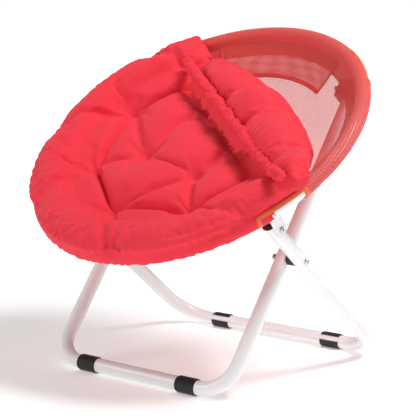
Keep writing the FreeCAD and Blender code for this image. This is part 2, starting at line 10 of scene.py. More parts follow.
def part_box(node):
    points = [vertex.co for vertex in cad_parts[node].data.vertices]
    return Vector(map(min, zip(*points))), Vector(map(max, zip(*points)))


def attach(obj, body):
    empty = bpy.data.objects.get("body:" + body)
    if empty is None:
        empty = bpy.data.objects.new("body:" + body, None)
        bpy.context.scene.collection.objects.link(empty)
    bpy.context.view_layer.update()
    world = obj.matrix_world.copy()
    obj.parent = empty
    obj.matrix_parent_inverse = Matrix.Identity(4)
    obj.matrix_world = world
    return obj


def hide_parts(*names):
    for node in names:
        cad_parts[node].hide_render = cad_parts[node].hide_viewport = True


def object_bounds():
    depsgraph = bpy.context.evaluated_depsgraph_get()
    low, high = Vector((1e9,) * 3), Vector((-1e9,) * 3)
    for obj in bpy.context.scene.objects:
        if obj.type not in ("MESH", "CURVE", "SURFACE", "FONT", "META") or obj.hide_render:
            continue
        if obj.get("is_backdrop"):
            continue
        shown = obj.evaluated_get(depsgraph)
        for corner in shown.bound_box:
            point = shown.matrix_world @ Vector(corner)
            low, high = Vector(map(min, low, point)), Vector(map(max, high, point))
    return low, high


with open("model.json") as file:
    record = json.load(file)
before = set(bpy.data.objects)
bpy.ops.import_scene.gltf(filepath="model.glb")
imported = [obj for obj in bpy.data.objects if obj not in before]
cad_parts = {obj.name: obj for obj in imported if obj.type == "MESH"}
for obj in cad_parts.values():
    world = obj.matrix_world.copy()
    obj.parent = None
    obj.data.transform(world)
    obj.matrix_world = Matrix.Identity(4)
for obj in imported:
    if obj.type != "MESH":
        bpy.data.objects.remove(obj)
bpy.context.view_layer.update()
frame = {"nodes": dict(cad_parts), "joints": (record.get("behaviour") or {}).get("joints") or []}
MM = 0.001

# Camera
# It stands in front of the chair and to its right, a little above the seat's middle, and
# far back, so that near and far legs show at almost the same scale.
CAMERA_TURN = math.radians(38.54)
CAMERA_RISE = math.radians(8.54)
CAMERA_DISTANCE = 2365.2 * MM
CAMERA_TARGET = Vector((0, 41.6, 276.9)) * MM
FOCAL_LENGTH_PIXELS = 1328.5
PICTURE_PIXELS = 416
backwards = Vector((math.sin(CAMERA_TURN) * math.cos(CAMERA_RISE),
                    -math.cos(CAMERA_TURN) * math.cos(CAMERA_RISE), math.sin(CAMERA_RISE)))
camera = bpy.data.objects.new("camera", bpy.data.cameras.new("camera"))
bpy.context.scene.collection.objects.link(camera)
camera.location = CAMERA_TARGET + backwards * CAMERA_DISTANCE
camera.rotation_euler = backwards.to_track_quat("Z", "Y").to_euler()
camera.data.lens = FOCAL_LENGTH_PIXELS / PICTURE_PIXELS * camera.data.sensor_width
camera.data.clip_end = 100
bpy.context.scene.camera = camera


# Floor and daylight
# The chair stands on a white studio floor that runs on into a brightly lit white wall, under
# one soft lamp above on the right, a little behind, and a weaker one in front on the left.
WALL_LIGHT = 1.02
ROOM_LIGHT = 0.26
WALL_ENDS = (0.03, 0.16)
FLOOR_HALF = 25.0
FLOOR_GLOW = (0.3, 1.05)
FLOOR_GLOW_AWAY = (0.5, 3.0)
LAMPS = (("key lamp", (1.2, 0.5, 2.6), 0.9, 58), ("fill lamp", (-1.8, -2.4, 1.6), 1.6, 27))


def linear(code):
    """An sRGB hex colour as the linear values that a shader takes."""
    parts = [int(code[i:i + 2], 16) / 255 for i in (1, 3, 5)]
    return [c / 12.92 if c < 0.04045 else ((c + 0.055) / 1.055) ** 2.4 for c in parts] + [1.0]


def add_node(tree, kind, inputs=None, **settings):
    """Adds a node with its settings. An input takes a value, or another node's output to link."""
    node = tree.nodes.new(kind)
    for name, value in settings.items():
        setattr(node, name, value)
    for name, value in (inputs or {}).items():
        if isinstance(value, bpy.types.NodeSocket):
            tree.links.new(value, node.inputs[name])
        else:
            node.inputs[name].default_value = value
    return node


def new_material(name, **shader_values):
    """A material with its Principled shader set. Names use _ for a space in a socket's name."""
    material = bpy.data.materials.new(name)
    material.use_nodes = True
    tree = material.node_tree
    shader = tree.nodes["Principled BSDF"]
    for socket, value in shader_values.items():
        shader.inputs[socket.replace("_", " ")].default_value = value
    return material, tree, shader


def reckon(tree, operation, *values, clamp=False):
    """What a math node makes of numbers and of other nodes' outputs."""
    return add_node(tree, "ShaderNodeMath", dict(enumerate(values)), operation=operation,
                    use_clamp=clamp).outputs[0]


def ranged(tree, value, target, source=(0, 1), **settings):
    """A value moved from its source range to the target range, and kept inside it."""
    ends = {"Value": value, "From Min": source[0], "From Max": source[1], "To Min": target[0],
            "To Max": target[1]}
    return add_node(tree, "ShaderNodeMapRange", ends, **settings).outputs[0]


bpy.context.scene.view_settings.view_transform = "Standard"
floor_paint, tree, shader = new_material("glowing studio floor", Base_Color=linear("#F7F7F7"), Roughness=0.9,
                                         Emission_Color=linear("#FFFFFF"))
# Painted light: the floor's paint glows by itself. It glows faintly under the chair, so that the chair's
# shadow still shows, and rises to full white further away.
spot = add_node(tree, "ShaderNodeTexCoord")
away = add_node(tree, "ShaderNodeVectorMath", {0: spot.outputs["Object"]}, operation="LENGTH")
floor_glow_painted = ranged(tree, away.outputs["Value"], FLOOR_GLOW, FLOOR_GLOW_AWAY, interpolation_type="SMOOTHSTEP")
tree.links.new(floor_glow_painted, shader.inputs["Emission Strength"])
speckle = add_node(tree, "ShaderNodeTexNoise", {"Scale": 60.0})
bump = add_node(tree, "ShaderNodeBump", {"Strength": 0.02, "Height": speckle.outputs[0]})
tree.links.new(bump.outputs[0], shader.inputs["Normal"])
floor_mesh = bpy.data.meshes.new("floor")
floor_mesh.from_pydata([(-FLOOR_HALF, -FLOOR_HALF, 0), (FLOOR_HALF, -FLOOR_HALF, 0),
                        (FLOOR_HALF, FLOOR_HALF, 0), (-FLOOR_HALF, FLOOR_HALF, 0)], [], [(0, 1, 2, 3)])
floor_mesh.materials.append(floor_paint)
floor = bpy.data.objects.new("floor", floor_mesh)
bpy.context.scene.collection.objects.link(floor)
floor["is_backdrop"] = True
world = bpy.data.worlds.new("white room")
world.use_nodes = True
sky = world.node_tree
way = add_node(sky, "ShaderNodeTexCoord")
way_up = add_node(sky, "ShaderNodeSeparateXYZ", {"Vector": way.outputs["Generated"]})
slope = reckon(sky, "ABSOLUTE", way_up.outputs["Z"])
glow = ranged(sky, slope, (WALL_LIGHT, ROOM_LIGHT), WALL_ENDS)
sky.links.new(glow, sky.nodes["Background"].inputs["Strength"])
sky.nodes["Background"].inputs["Color"].default_value = linear("#FFFFFF")
bpy.context.scene.world = world
for name, place, size, power in LAMPS:
    lamp = bpy.data.objects.new(name, bpy.data.lights.new(name, "AREA"))
    lamp.data.size = size
    lamp.data.energy = power
    lamp.location = place
    lamp.rotation_euler = (Vector(place) - CAMERA_TARGET).to_track_quat("Z", "Y").to_euler()
    bpy.context.scene.collection.objects.link(lamp)


# Leg frames
# Two U-shaped frames of 25 mm steel tube, bent cold and powder coated glossy white. They
# cross at the sides and are screwed together there.
TUBE_R = 12.5 * MM
INNER_BEND_R = 52.0 * MM
OUTER_BEND_R = 67.0 * MM
BEND_STEPS = 18
TUBE_SIDES = 40


def finish_mesh(name, mesh, sharp_degrees=40):
    """Closes a mesh's seams, turns its faces outwards, smooths it and makes its piece."""
    shape = bmesh.new()
    shape.from_mesh(mesh)
    bmesh.ops.remove_doubles(shape, verts=shape.verts, dist=1e-6)
    bmesh.ops.recalc_face_normals(shape, faces=shape.faces)
    shape.to_mesh(mesh)
    shape.free()
    mesh.shade_smooth()
    mesh.set_sharp_from_angle(angle=math.radians(sharp_degrees))
    piece = bpy.data.objects.new(name, mesh)
    bpy.context.scene.collection.objects.link(piece)
    return piece


def skin(name, rings, around=True, along=False, caps=False, keep=None):
    """A mesh that joins rings of points. keep says which of its quads stay."""
    rings = np.asarray(rings, float)
    count, size = rings.shape[:2]
    index = np.arange(count * size).reshape(count, size)
    if around:
        index = np.hstack([index, index[:, :1]])
    if along:
        index = np.vstack([index, index[:1]])
    quads = np.stack([index[:-1, :-1], index[:-1, 1:], index[1:, 1:], index[1:, :-1]], -1)
    quads = quads[keep] if keep is not None else quads.reshape(-1, 4)
    faces = [tuple(int(i) for i in quad) for quad in quads]
    if caps:
        faces.append(tuple(range(size))[::-1])
        faces.append(tuple(range((count - 1) * size, count * size)))
    mesh = bpy.data.meshes.new(name)
    mesh.from_pydata(rings.reshape(-1, 3).tolist(), [], faces)
    return mesh


def u_route(half_spread, bend_r, bar, up, length):
    """Centre line of a U frame, from one leg's top over the floor bar to the other's."""
    side = Vector((half_spread, 0, 0))
    half = [bar + side + up * length]
    corner = bar + side - Vector((bend_r, 0, 0)) + up * bend_r
    for step in range(BEND_STEPS + 1):
        turn = math.radians(90) * step / BEND_STEPS
        half.append(corner + Vector((bend_r * math.cos(turn), 0, 0)) - up * bend_r * math.sin(turn))
    return half + [Vector((-p.x, p.y, p.z)) for p in reversed(half)]


def tube(name, route, normal, radius):
    """Round tube along a flat route. normal is square to the route's plane."""
    rings = []
    for index, point in enumerate(route):
        ahead = route[min(index + 1, len(route) - 1)] - route[max(index - 1, 0)]
        across = ahead.normalized().cross(normal)
        for_point = []
        for side in range(TUBE_SIDES):
            turn = 2 * math.pi * side / TUBE_SIDES
            for_point.append(point + (across * math.cos(turn) + normal * math.sin(turn)) * radius)
        rings.append(for_point)
    return finish_mesh(name, skin(name, rings, caps=True))


def dress(material, *names):
    """Gives CAD nodes their finish. A name that ends in _ stands for its left and right node."""
    for name in names:
        for side in (("left", "right") if name.endswith("_") else ("",)):
            node = frame["nodes"][name + side]
            if not node.material_slots:
                node.data.materials.append(material)
            for place in node.material_slots:
                place.material = material


def cloudy(tree, scale, detail, **more):
    """Soft noise that is fixed to the piece. scale is in spots to the metre."""
    place = add_node(tree, "ShaderNodeTexCoord")
    return add_node(tree, "ShaderNodeTexNoise", {"Vector": place.outputs["Object"], "Scale": scale,
                                                 "Detail": detail, **more}).outputs[0]


def roughen(tree, shader, strength, depth, height):
    """Gives a material fine relief. depth is in metres."""
    bump = add_node(tree, "ShaderNodeBump", {"Strength": strength, "Distance": depth, "Height": height})
    tree.links.new(bump.outputs[0], shader.inputs["Normal"])


# Powder coat, baked: a hard glossy skin with a faint orange peel about a millimetre across
enamel, tree, shader = new_material("glossy white powder coat", Base_Color=linear("#F3F4F5"), Roughness=0.2,
                                    Coat_Weight=0.35, Coat_Roughness=0.08)
roughen(tree, shader, 0.05, 0.0002, cloudy(tree, 900.0, 1.0))
tree.links.new(ranged(tree, cloudy(tree, 35.0, 4.0), (0.16, 0.3)), shader.inputs["Roughness"])

crossing = Vector(next(j for j in frame["joints"] if j["name"] == "leg_fold")["pos_m"])
for name, bend_r, to_rear, body in (("inner_leg_frame", INNER_BEND_R, 1, "inner_legs"),
                                    ("outer_leg_frame", OUTER_BEND_R, -1, "outer_legs")):
    low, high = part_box(name)
    bar_y = low.y + TUBE_R if to_rear > 0 else high.y - TUBE_R
    bar = Vector((0, bar_y, low.z + TUBE_R))
    up = (crossing - bar).normalized()
    length = (high.z - TUBE_R * abs(up.y) - bar.z) / up.z
    frame_tube = tube(name.replace("_frame", "_tube"), u_route(high.x - TUBE_R, bend_r, bar, up, length),
                      up.cross(Vector((1, 0, 0))), TUBE_R)
    frame_tube.data.materials.append(enamel)
    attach(frame_tube, body)
    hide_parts(name)
dress(enamel, "seat_ring", "front_bracket_", "rear_bracket_")


# Feet, plugs, spacers and saddles
# Injection moulded: black polypropylene feet with ribs clip on the floor bars, and nylon
# spacers, washers, saddles and end plugs keep the tubes from rubbing.
def moulded(name, code, roughness, grain):
    """Moulded plastic with the fine spark-eroded grain of its tool."""
    material, tree, shader = new_material(name, Base_Color=linear(code), Roughness=roughness, IOR=1.49)
    spark = cloudy(tree, grain, 3.0)
    roughen(tree, shader, 0.25, 0.0002, spark)
    tree.links.new(ranged(tree, spark, (roughness - 0.08, roughness + 0.1)), shader.inputs["Roughness"])
    return material


dress(moulded("black polypropylene", "#141414", 0.42, 1400.0), "front_foot_", "rear_foot_",
      "crossing_spacer_")
dress(moulded("grey nylon", "#3A3B3D", 0.5, 1200.0), "inner_tube_plug_", "outer_tube_plug_",
      "pivot_washer_", "rear_saddle_")

# Screws and nuts
# M6 button heads with a hexagon socket and plain nuts, cold formed in steel and zinc
# plated bright.
zinc, tree, shader = new_material("bright zinc plate", Base_Color=linear("#C9CCD0"), Metallic=1.0,
                                  Roughness=0.3)
tree.links.new(ranged(tree, cloudy(tree, 500.0, 4.0), (0.22, 0.42)), shader.inputs["Roughness"])
dress(zinc, "crossing_screw_", "crossing_nut_", "pivot_screw_", "pivot_nut_", "saddle_screw_", "saddle_nut_")

# Mesh sling
# Coated polyester mesh cut as a disc. Its edge goes under and round the ring, comes back
# over the top and is sewn down inside, which leaves a sleeve and a double band.
SLEEVE_R = 13.8 * MM
SLING_DEPTH = 99.0 * MM
SLING_RIM_DROP = 4.0 * MM
HEM_WIDTH = 23.0 * MM
HEM_LIFT = 0.9 * MM
CUTOUT_TOP = 5.0 * MM
CUTOUT_INSIDE = 10.5 * MM
TAPE_WIDTH = 7.0 * MM
SLING_TURNS = 288
BOWL_POINTS = 34
SLING_OVERLAP = 0.6 * MM
MESH_PITCH = 2.2 * MM
ring_low, ring_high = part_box("seat_ring")
RING_R = ring_high.x - TUBE_R
ring_centre = (ring_low + ring_high) / 2
ring_tilt = math.asin(((ring_high.z - ring_low.z) / 2 - TUBE_R) / RING_R)
SLING_RIM_R = RING_R - SLEEVE_R + SLING_OVERLAP
sag = SLING_DEPTH - SLING_RIM_DROP
ball_r = (SLING_RIM_R ** 2 + sag ** 2) / (2 * sag)


def ring_place(x, rear, up):
    """Points given across, to the rear and up from the ring's middle, in the chair's frame."""
    x, rear, up = np.broadcast_arrays(x, rear, up)
    y = ring_centre.y + rear * math.cos(ring_tilt) - up * math.sin(ring_tilt)
    z = ring_centre.z + rear * math.sin(ring_tilt) + up * math.cos(ring_tilt)
    return np.stack([ring_centre.x + x, y, z], -1)


def ring_local(points):
    """The reverse of ring_place: across, to the rear and up, as three arrays."""
    away = np.asarray(points, float) - np.array(ring_centre)
    rear = away[:, 1] * math.cos(ring_tilt) + away[:, 2] * math.sin(ring_tilt)
    up = -away[:, 1] * math.sin(ring_tilt) + away[:, 2] * math.cos(ring_tilt)
    return away[:, 0], rear, up


def bowl_up(radius):
    """Height of the sling's cloth at a radius. The bowl is part of a ball."""
    return -SLING_DEPTH + ball_r - np.sqrt(ball_r ** 2 - np.asarray(radius) ** 2)


def cutout_turns(node):
    """The angles from the rear between which the sleeve is open for a bracket."""
    x, rear, _ = ring_local([v.co for v in frame["nodes"][node].data.vertices])
    turns = np.arctan2(x, rear)
    margin = TAPE_WIDTH / RING_R
    return turns.min() + margin, turns.max() - margin


def sleeve_profile():
    """The cloth's section from the middle out: radius, height and whether a bracket cuts it."""
    hem_r = SLING_RIM_R - HEM_WIDTH
    bowl = [(r, bowl_up(r)) for r in np.linspace(0, hem_r, BOWL_POINTS)]
    bowl += [(r, bowl_up(r)) for r in np.linspace(hem_r, SLING_RIM_R, 5)[1:-1]]
    first = math.pi + math.asin(SLING_RIM_DROP / SLEEVE_R)
    open_from = math.pi + math.acos(CUTOUT_INSIDE / SLEEVE_R)
    open_to = 2 * math.pi + math.asin(CUTOUT_TOP / SLEEVE_R)
    last = 3 * math.pi - 0.5 * HEM_LIFT / SLEEVE_R
    turns = np.concatenate([np.linspace(first, open_from, 4), np.linspace(open_from, open_to, 15)[1:],
                            np.linspace(open_to, last, 13)[1:]])
    sleeve = [(RING_R + SLEEVE_R * math.cos(t), SLEEVE_R * math.sin(t)) for t in turns]
    back = [(r, bowl_up(r) + HEM_LIFT) for r in np.linspace(SLING_RIM_R - 2 * MM, hem_r, 6)]
    cut = [open_from - 1e-6 <= t < open_to - 1e-6 for t in turns]
    return bowl + sleeve + back, [False] * len(bowl) + cut + [False] * len(back)


profile, cut = sleeve_profile()
cutouts = [cutout_turns("front_binding_right"), cutout_turns("rear_binding_right")]
edges = [side * turn for pair in cutouts for turn in pair for side in (1, -1)]
turns = np.linspace(-math.pi, math.pi, SLING_TURNS, endpoint=False)
turns = np.array([t for t in turns if min(abs(t - e) for e in edges) > math.pi / SLING_TURNS] + edges)
turns.sort()
radii, heights = np.array(profile).T
grid = ring_place(np.outer(np.sin(turns), radii), np.outer(np.cos(turns), radii), heights[None, :])
middles = turns + 0.5 * (np.roll(turns, -1) - turns) % math.pi
in_cutout = np.any([(abs(middles) > a) & (abs(middles) < b) for a, b in cutouts], axis=0)
keep = ~(in_cutout[:, None] & np.array(cut[:-1])[None, :])
sling_mesh = skin("mesh_sling", grid, around=False, along=True, keep=keep)


def lay_flat(mesh, name, places):
    """Gives a mesh's points their places on the cloth as it was cut."""
    layer = mesh.uv_layers.new(name=name)
    corner = np.empty(len(mesh.loops), int)
    mesh.loops.foreach_get("vertex_index", corner)
    layer.data.foreach_set("uv", places[corner].astype(np.float32).ravel())


# The cut cloth's own flat coordinates, so that the threads run straight across the disc
steps = np.hypot(np.diff(radii), np.diff(heights))
flat_r = np.concatenate([[0], np.cumsum(steps)])
hem_flat_r = float(flat_r[BOWL_POINTS - 1])
flat = np.stack([np.outer(np.sin(turns), flat_r), np.outer(np.cos(turns), flat_r)], -1).reshape(-1, 2)
polar = np.stack(np.broadcast_arrays(turns[:, None], flat_r[None, :]), -1).reshape(-1, 2)
lay_flat(sling_mesh, "cloth", flat)
lay_flat(sling_mesh, "round", polar)
sling = finish_mesh("sling_cloth", sling_mesh, 180)


# PVC-coated polyester mesh: soft gloss on the threads and open holes between them. The real
# threads are about 0.8 mm apart, drawn here at 2.2 mm so that they show.
def mesh_cloth(name, code, cover, pulled=False):
    """Open weave. cover is the share of the surface that thread fills."""
    material, tree, shader = new_material(name, Base_Color=linear(code), Roughness=0.55, IOR=1.52,
                                          Sheen_Weight=0.15, Sheen_Roughness=0.5)
    place = add_node(tree, "ShaderNodeUVMap", uv_map="cloth").outputs[0]
    parts = add_node(tree, "ShaderNodeSeparateXYZ", {"Vector": place})
    turns = [reckon(tree, "MULTIPLY", parts.outputs[axis], 2 * math.pi / MESH_PITCH) for axis in "XY"]
    weave = reckon(tree, "ADD", *(reckon(tree, "COSINE", turn) for turn in turns))
    cloud = add_node(tree, "ShaderNodeTexNoise", {"Vector": place, "Scale": 260.0, "Detail": 3.0})
    threads = reckon(tree, "ADD", weave, ranged(tree, cloud.outputs[0], (-0.9, 0.9)))
    alpha = ranged(tree, threads, (cover - 0.25, cover + 0.25), (-1.2, 1.2))
    if pulled:
        alpha = pucker_bands(tree, doubled(tree, alpha))
    tree.links.new(alpha, shader.inputs["Alpha"])
    roughen(tree, shader, 0.35, 0.0005, weave)
    return material


def round_place(tree):
    """The cloth's turn round the bowl and its flat distance from the middle, as two outputs."""
    polar = add_node(tree, "ShaderNodeUVMap", uv_map="round")
    parts = add_node(tree, "ShaderNodeSeparateXYZ", {"Vector": polar.outputs[0]})
    return parts.outputs["X"], parts.outputs["Y"]


def doubled(tree, alpha):
    """Closes the weave further out than the hem, where the cloth lies double on the tube."""
    more = ranged(tree, round_place(tree)[1], (0, 0.2), (hem_flat_r - 1 * MM, hem_flat_r))
    return reckon(tree, "ADD", alpha, more, clamp=True)


# Puckers show round this turn of the bowl and fade on both sides of it, out near the rim
PUCKER_TURN = 1.75
PUCKER_FADE = (0.3, 0.75)
PUCKER_RIM = (262.0 * MM, 280.0 * MM)
PUCKER_SLANT = 26.0
PUCKER_FINENESS = 1150.0
PUCKER_STRENGTH = 0.45


def pucker_bands(tree, alpha):
    """Darkens the cloth in fine slanting bands where the sleeve pulls on the right side."""
    turn, outward = round_place(tree)
    slant = reckon(tree, "MULTIPLY", turn, PUCKER_SLANT)
    wave = reckon(tree, "SINE", reckon(tree, "MULTIPLY_ADD", outward, PUCKER_FINENESS, slant))
    off = reckon(tree, "ABSOLUTE", reckon(tree, "SUBTRACT", turn, PUCKER_TURN))
    mask = reckon(tree, "MULTIPLY", ranged(tree, off, (1, 0), PUCKER_FADE),
                  ranged(tree, outward, (0, 1), PUCKER_RIM))
    amount = reckon(tree, "MULTIPLY", mask, PUCKER_STRENGTH)
    return reckon(tree, "MULTIPLY_ADD", wave, amount, alpha, clamp=True)


red_mesh = mesh_cloth("red polyester mesh", "#E23F36", 0.72, pulled=True)
sling.data.materials.append(red_mesh)
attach(sling, "seat")
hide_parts("mesh_sling")

# Second layer
# A curved panel of the same mesh is sewn on the inside at the rear, its free edge turned
# over twice as a hem.
PANEL_WIDTH = 62.0 * MM
PANEL_LIFT = 2.0 * MM
PANEL_HEM = 7.0 * MM
PANEL_HEM_THICK = 0.9 * MM
PANEL_TUCK = 5.0 * MM
PANEL_THICK = 1.2 * MM
PANEL_LOW = math.radians(-24)
PANEL_HIGH = math.radians(36)
turns = np.linspace(PANEL_LOW, PANEL_HIGH, 64)
panel_r = SLING_RIM_R - 1.0 * MM
radii = np.concatenate([np.linspace(panel_r - PANEL_WIDTH, panel_r - PANEL_WIDTH + PANEL_HEM, 3),
                        np.linspace(panel_r - PANEL_WIDTH + PANEL_HEM, panel_r, 12)[1:]])
heights = bowl_up(radii) + PANEL_LIFT
grid = ring_place(np.outer(np.sin(turns), radii), np.outer(np.cos(turns), radii), heights[None, :])
panel_mesh = skin("second_layer", grid, around=False)
flat = np.stack([np.outer(np.sin(turns), radii), np.outer(np.cos(turns), radii)], -1).reshape(-1, 2)
lay_flat(panel_mesh, "cloth", flat)
panel = finish_mesh("second_layer", panel_mesh, 180)
panel.data.materials.append(mesh_cloth("red mesh panel", "#E23F36", 0.8))
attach(panel, "seat")
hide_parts("rear_pocket")


def band(name, route, width, thick):
    """A folded strip of cloth along a route on the bowl. route holds turn and radius."""
    points = []
    for index, (turn, radius) in enumerate(route):
        here = np.array([radius * math.sin(turn), radius * math.cos(turn)])
        t0, r0 = route[max(index - 1, 0)]
        t1, r1 = route[min(index + 1, len(route) - 1)]
        ahead = np.array([r1 * math.sin(t1) - r0 * math.sin(t0), r1 * math.cos(t1) - r0 * math.cos(t0)])
        side = np.array([-ahead[1], ahead[0]]) / np.linalg.norm(ahead)
        ring = []
        for across, lift in ((-0.5, 0.3), (-0.42, 1.0), (0.42, 1.0), (0.5, 0.3), (0.42, 0.0), (-0.42, 0.0)):
            x, rear = here + side * across * width
            lying = bowl_up(math.hypot(x, rear)) + PANEL_LIFT + 0.15 * MM
            ring.append(ring_place(x, rear, lying + lift * thick))
        points.append(ring)
    return finish_mesh(name, skin(name, points, caps=True), 60)


hem_r = panel_r - PANEL_WIDTH + 0.5 * PANEL_HEM
hem_route = [(PANEL_LOW, r) for r in np.linspace(panel_r - PANEL_TUCK, hem_r, 8)]
hem_route += [(t, hem_r) for t in np.linspace(PANEL_LOW, PANEL_HIGH, 60)[1:-1]]
hem_route += [(PANEL_HIGH, r) for r in np.linspace(hem_r, panel_r - PANEL_TUCK, 8)]
hem = band("panel_hem", hem_route, PANEL_HEM, PANEL_HEM_THICK)
hem.data.materials.append(mesh_cloth("red mesh hem", "#D2302F", 0.95))
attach(hem, "seat")


# Seams
# Lock stitch in strong red thread holds the sleeve's hem and the panel, about three stitches
# to the centimetre.
def stitch_tree():
    """Geometry nodes that lay a row of short round stitches along a line of edges."""
    tree = bpy.data.node_groups.new("stitch row", "GeometryNodeTree")
    face = tree.interface
    sockets = {"Line": face.new_socket("Line", in_out="INPUT", socket_type="NodeSocketGeometry")}
    for name in ("Pitch", "Stitch Length", "Thickness"):
        sockets[name] = face.new_socket(name, in_out="INPUT", socket_type="NodeSocketFloat")
    sockets["Thread"] = face.new_socket("Thread", in_out="INPUT", socket_type="NodeSocketMaterial")
    face.new_socket("Stitches", in_out="OUTPUT", socket_type="NodeSocketGeometry")
    given = add_node(tree, "NodeGroupInput")
    line = add_node(tree, "GeometryNodeMeshToCurve", {"Mesh": given.outputs["Line"]})
    dots = add_node(tree, "GeometryNodeCurveToPoints",
                    {"Curve": line.outputs[0], "Length": given.outputs["Pitch"]}, mode="LENGTH")
    bead = add_node(tree, "GeometryNodeMeshUVSphere", {"Segments": 6, "Rings": 4, "Radius": 0.5})
    size = add_node(tree, "ShaderNodeCombineXYZ", {"X": given.outputs["Stitch Length"],
                                                   "Y": given.outputs["Thickness"],
                                                   "Z": given.outputs["Thickness"]})
    turned = add_node(tree, "FunctionNodeAlignRotationToVector", {"Vector": dots.outputs["Tangent"]},
                      axis="X")
    laid = add_node(tree, "GeometryNodeInstanceOnPoints", {"Points": dots.outputs["Points"],
                                                           "Instance": bead.outputs["Mesh"],
                                                           "Rotation": turned.outputs[0],
                                                           "Scale": size.outputs[0]})
    real = add_node(tree, "GeometryNodeRealizeInstances", {"Geometry": laid.outputs[0]})
    coloured = add_node(tree, "GeometryNodeSetMaterial", {"Geometry": real.outputs[0],
                                                          "Material": given.outputs["Thread"]})
    add_node(tree, "NodeGroupOutput", {0: coloured.outputs[0]})
    return tree, {name: socket.identifier for name, socket in sockets.items()}


stitching, stitch_inputs = stitch_tree()


def grown(name, mesh, tree, values):
    """The plain mesh that a geometry nodes tree makes of a mesh. values go by identifier."""
    source = bpy.data.objects.new(name + "_line", mesh)
    bpy.context.scene.collection.objects.link(source)
    modifier = source.modifiers.new("grow", "NODES")
    modifier.node_group = tree
    for identifier, value in values.items():
        modifier[identifier] = value
    bpy.context.view_layer.update()
    made = bpy.data.meshes.new_from_object(source.evaluated_get(bpy.context.evaluated_depsgraph_get()))
    bpy.data.objects.remove(source)
    made.name = name
    piece = bpy.data.objects.new(name, made)
    bpy.context.scene.collection.objects.link(piece)
    return piece


def seam(name, routes, stitch, thread):
    """Rows of stitches along lines of points. stitch holds a stitch's pitch, length and thickness."""
    points = [tuple(p) for route in routes for p in route]
    edges = []
    for route in routes:
        start = edges[-1][1] + 1 if edges else 0
        edges += [(start + i, start + i + 1) for i in range(len(route) - 1)]
    mesh = bpy.data.meshes.new(name + "_line")
    mesh.from_pydata(points, edges, [])
    values = zip(("Pitch", "Stitch Length", "Thickness", "Thread"), (*stitch, thread))
    return grown(name, mesh, stitching, {stitch_inputs[socket]: value for socket, value in values})


red_thread, tree, shader = new_material("red polyester thread", Base_Color=linear("#B92A2B"), Roughness=0.6,
                                        Sheen_Weight=0.3)
place = add_node(tree, "ShaderNodeTexCoord")
twist = add_node(tree, "ShaderNodeTexWave", {"Vector": place.outputs["Object"], "Scale": 900.0,
                                             "Distortion": 1.0})
roughen(tree, shader, 0.3, 0.0001, twist.outputs[0])


def bowl_line(turn_from, turn_to, radius, lift, count):
    """A line round the bowl at one radius, between two turns."""
    t = np.linspace(turn_from, turn_to, count)
    return ring_place(radius * np.sin(t), radius * np.cos(t), bowl_up(radius) + lift)


SEAM_STITCH = (3.4 * MM, 2.6 * MM, 0.7 * MM)
SEAM_LIFT = 0.2 * MM
PANEL_SEAM_ENDS = 0.02
sleeve_seam_r = SLING_RIM_R - HEM_WIDTH + 2.5 * MM
panel_seam_r = panel_r - PANEL_WIDTH + PANEL_HEM - 1.5 * MM
sleeve_line = bowl_line(-math.pi, math.pi, sleeve_seam_r, HEM_LIFT + SEAM_LIFT, 240)
panel_line = bowl_line(PANEL_LOW + PANEL_SEAM_ENDS, PANEL_HIGH - PANEL_SEAM_ENDS, panel_seam_r,
                       PANEL_LIFT + PANEL_THICK, 80)
seams = seam("mesh_seams", [sleeve_line, panel_line], SEAM_STITCH, red_thread)
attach(seams, "seat")

# Orange tape
# Where a bracket comes through, the sleeve's raw edge is bound with folded orange polyester
# tape, sewn down with one row of stitches.
TAPE_THICK = 1.1 * MM
TAPE_CORNER = 4.0 * MM
TAPE_STITCH = (2.6 * MM, 1.9 * MM, 0.6 * MM)
TAPE_SECTION = ((-0.5, 0.25), (-0.44, 0.85), (0, 1.0), (0.44, 0.85), (0.5, 0.25), (0.4, 0.05), (-0.4, 0.05))
orange, tree, shader = new_material("orange woven tape", Base_Color=linear("#F0662F"), Roughness=0.6,
                                    Sheen_Weight=0.25)
place = add_node(tree, "ShaderNodeTexCoord")
rib = add_node(tree, "ShaderNodeTexWave", {"Vector": place.outputs["Object"], "Scale": 420.0,
                                           "Distortion": 2.0, "Detail": 1.0})
shade = add_node(tree, "ShaderNodeMix", {0: rib.outputs[0], 6: linear("#E2582A"), 7: linear("#F4783C")},
                 data_type="RGBA")
tree.links.new(shade.outputs[2], shader.inputs["Base Color"])
roughen(tree, shader, 0.4, 0.0003, rib.outputs[0])
orange_thread = new_material("orange polyester thread", Base_Color=linear("#C9481E"), Roughness=0.6)[0]


def tape_loop(turns_of_cut):
    """Middle line of the tape on the sleeve, as turns round the chair's ring and round its tube."""
    low, high = (turn * RING_R for turn in turns_of_cut)
    half = 0.5 * TAPE_WIDTH
    inside = (math.pi + math.acos(CUTOUT_INSIDE / SLEEVE_R)) * SLEEVE_R - half
    outside = (2 * math.pi + math.asin(CUTOUT_TOP / SLEEVE_R)) * SLEEVE_R + half
    corners = ((low - half, inside, 180), (high + half, inside, 270), (high + half, outside, 0),
               (low - half, outside, 90))
    loop = []
    for along, around, start in corners:
        for step in range(7):
            turn = math.radians(start + 15 * step)
            middle_x = along + math.copysign(TAPE_CORNER, 0.5 * (low + high) - along)
            middle_y = around + math.copysign(TAPE_CORNER, 0.5 * (inside + outside) - around)
            loop.append((middle_x + TAPE_CORNER * math.cos(turn), middle_y + TAPE_CORNER * math.sin(turn)))
    return loop


def on_sleeve(along, around, lift, side):
    """A point on the sleeve, given by lengths along the ring and round the tube."""
    ring_turn, tube_turn = along / RING_R, around / SLEEVE_R
    radius = RING_R + (SLEEVE_R + lift) * math.cos(tube_turn)
    return ring_place(side * radius * math.sin(ring_turn), radius * math.cos(ring_turn),
                      (SLEEVE_R + lift) * math.sin(tube_turn))


